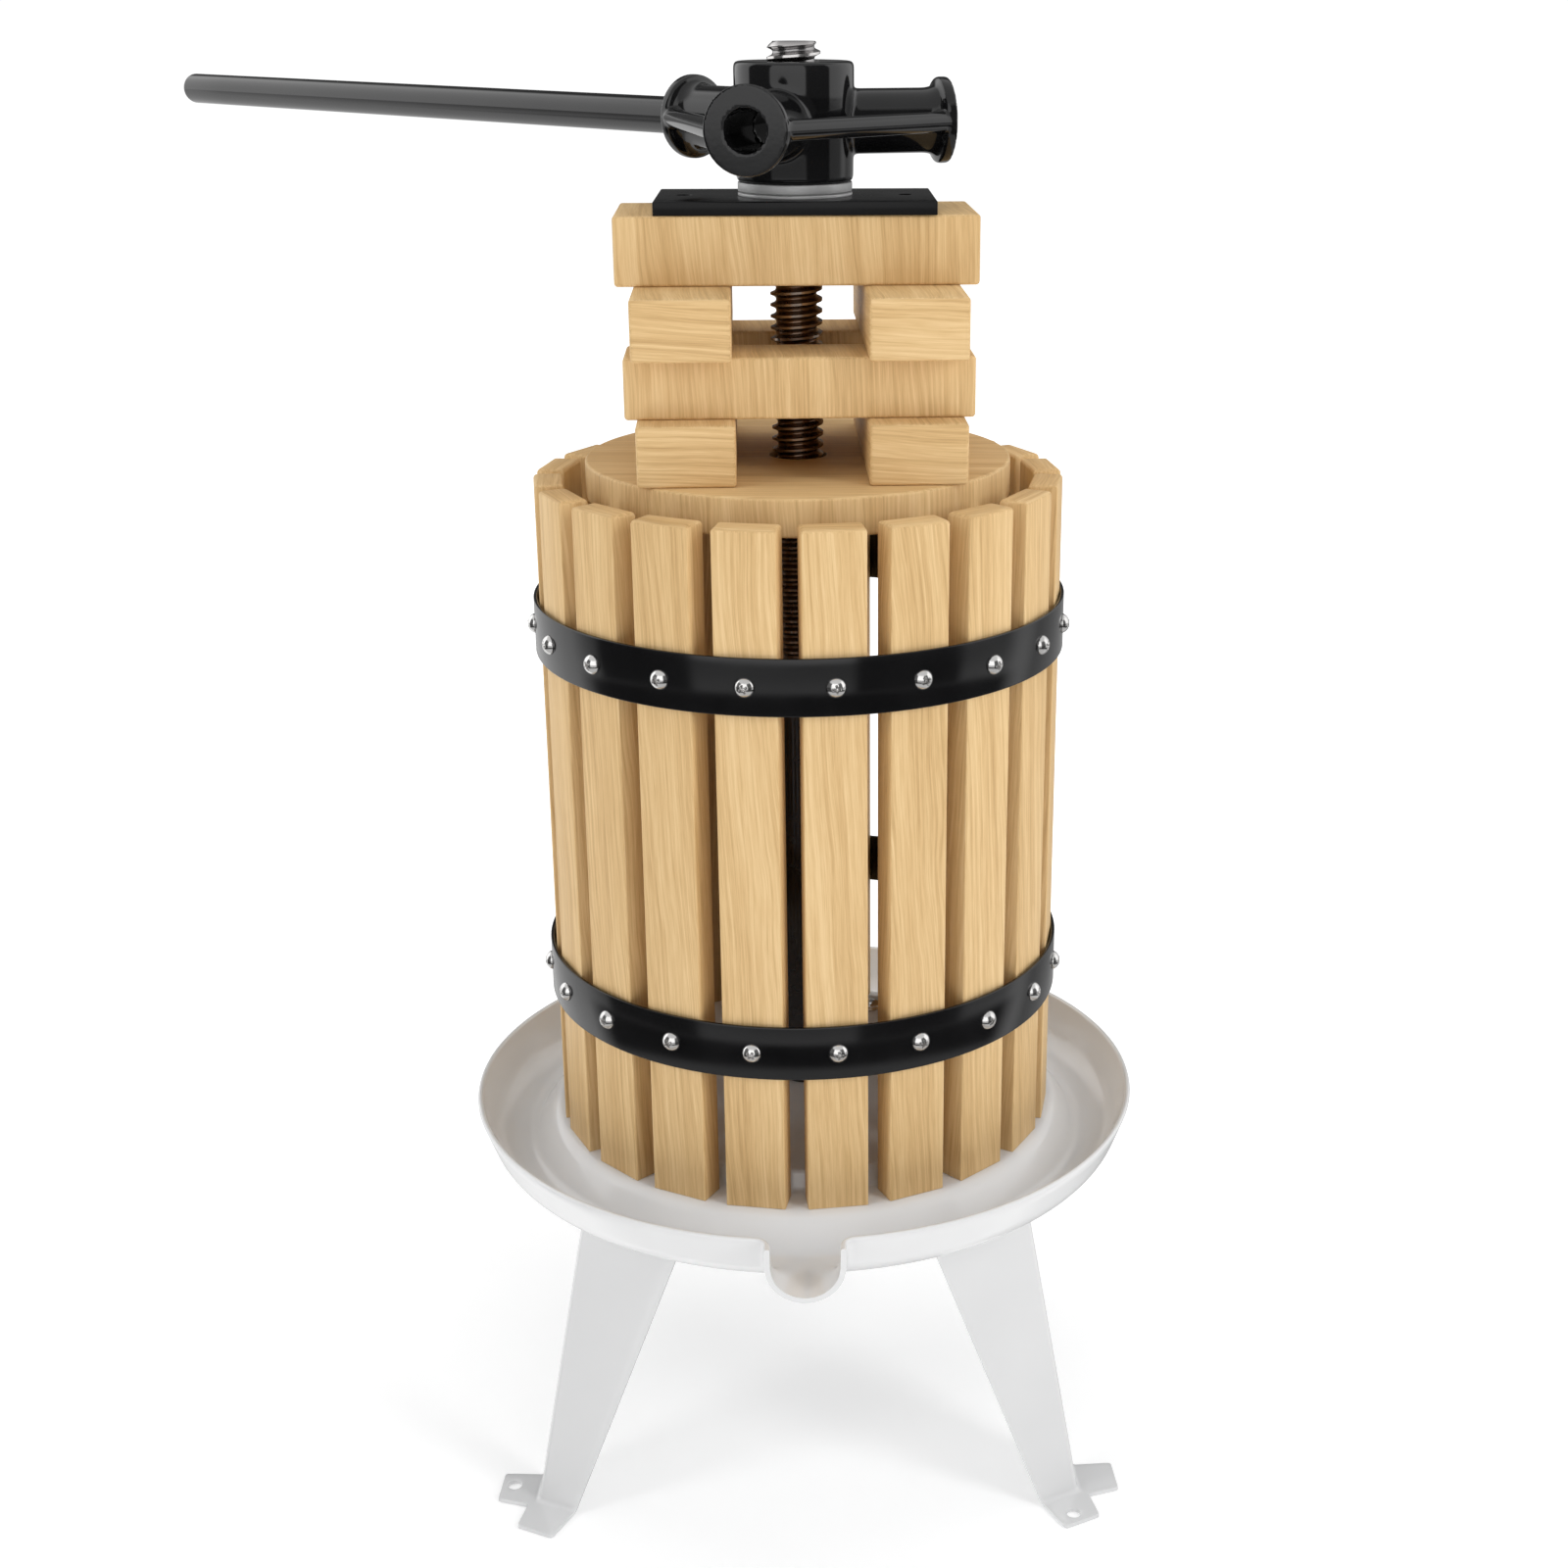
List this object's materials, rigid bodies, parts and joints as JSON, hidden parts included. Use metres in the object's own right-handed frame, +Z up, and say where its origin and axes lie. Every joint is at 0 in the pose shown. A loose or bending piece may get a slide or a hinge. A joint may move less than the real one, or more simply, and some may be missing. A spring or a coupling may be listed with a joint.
{
  "type": "fruit press",
  "caption": "Screw fruit press: slatted round wooden basket on an enamelled drip tray with legs, cross blocks, cast turning head and push-in bar",
  "frame": {"origin": "on the floor under the spindle, at the centre of the circle of the three foot holes", "axes": "+Z up along the spindle, -Y towards the pouring spout (front), +X to the right seen from the front"},
  "size_m": [0.6297, 0.6647, 0.8296],
  "materials": {
    "white_enamel": "gloss white enamel on sheet steel",
    "beech": "planed beech, thinly oiled",
    "black_gloss": "gloss black paint",
    "black_satin": "satin black paint",
    "bright_plated": "bright plated",
    "spindle_steel": "oiled dark steel",
    "washer_grey": "pale plated steel"
  },
  "bodies": {
    "frame": {"tray": "white_enamel", "leg_front_left": "white_enamel", "leg_front_right": "white_enamel", "leg_rear": "white_enamel", "leg_bolts": "bright_plated", "leg_nuts": "bright_plated", "screw_rod": "spindle_steel", "rod_washer": "washer_grey", "rod_nut": "washer_grey"},
    "basket": {"stave_01": "beech", "stave_02": "beech", "stave_03": "beech", "stave_04": "beech", "stave_05": "beech", "stave_06": "beech", "stave_07": "beech", "stave_08": "beech", "stave_09": "beech", "stave_10": "beech", "stave_11": "beech", "stave_12": "beech", "stave_13": "beech", "stave_14": "beech", "stave_15": "beech", "stave_16": "beech", "stave_17": "beech", "stave_18": "beech", "stave_19": "beech", "stave_20": "beech", "upper_band": "black_gloss", "lower_band": "black_gloss", "upper_band_screws": "bright_plated", "lower_band_screws": "bright_plated"},
    "carriage": {"press_disc": "beech", "lower_block_left": "beech", "lower_block_right": "beech", "middle_board_front": "beech", "middle_board_rear": "beech", "upper_block_left": "beech", "upper_block_right": "beech", "top_beam": "beech", "bearing_plate": "black_satin", "plate_screws": "black_satin", "thin_washer": "washer_grey", "thrust_washer": "washer_grey"},
    "head": {"hub": "black_gloss"},
    "handle": {"handle_bar": "black_gloss"}
  },
  "joints": [
    {"name": "basket_lift", "type": "slide", "parent": "frame", "child": "basket", "axis": [0, 0, 1], "range_m": [0, 0.012]},
    {"name": "press_travel", "type": "slide", "parent": "frame", "child": "carriage", "axis": [0, 0, 1], "range_m": [-0.1601, 0.0091]},
    {"name": "head_spin", "type": "hinge", "parent": "carriage", "child": "head", "pos_m": [0, 0, 0.7893], "axis": [0, 0, 1], "range_deg": [-9600, 540]},
    {"name": "handle_pull", "type": "slide", "parent": "head", "child": "handle", "axis": [-0.6858, 0.7278, 0], "range_m": [0, 0.05]}
  ],
  "couplings": [
    {"joint": "press_travel", "follows": "head_spin", "m_per_rad": 0.00095493}
  ]
}
